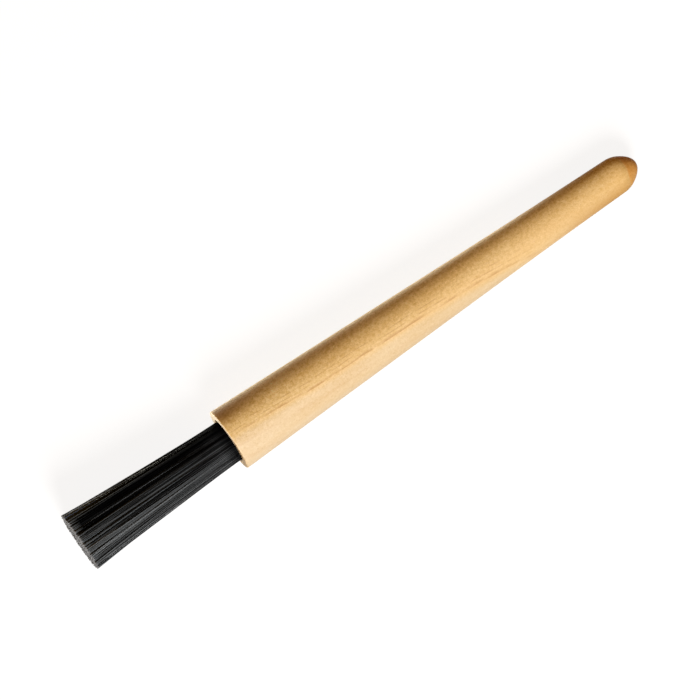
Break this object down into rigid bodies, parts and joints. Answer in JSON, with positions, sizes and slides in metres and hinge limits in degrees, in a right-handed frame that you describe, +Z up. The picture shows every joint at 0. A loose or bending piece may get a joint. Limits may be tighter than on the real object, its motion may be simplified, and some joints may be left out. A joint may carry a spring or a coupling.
{
  "type": "brush",
  "caption": "Hand brush for cleaning a coffee grinder: tapered turned wooden handle with a rounded butt, and a round, flat-cut tuft of black nylon bristles set in its thick end.",
  "frame": {"origin": "on the surface that the brush lies on, under the middle of its length", "axes": "+X along the brush as it lies, from the bristles towards the butt; +Z up. The brush's own axis leans 1.732 degrees down towards the butt, because the tapered handle lies on its side"},
  "size_m": [0.2027, 0.02, 0.0211],
  "materials": {
    "handle_wood": "sanded and oiled beech, satin",
    "bristle_nylon": "extruded black nylon filament, satin, with cut grey ends",
    "set_resin": "amber casting resin, glossy, hidden in the bore"
  },
  "bodies": {
    "root": {"handle": "handle_wood", "bristle_tuft": "bristle_nylon", "resin_plug": "set_resin"}
  },
  "joints": []
}
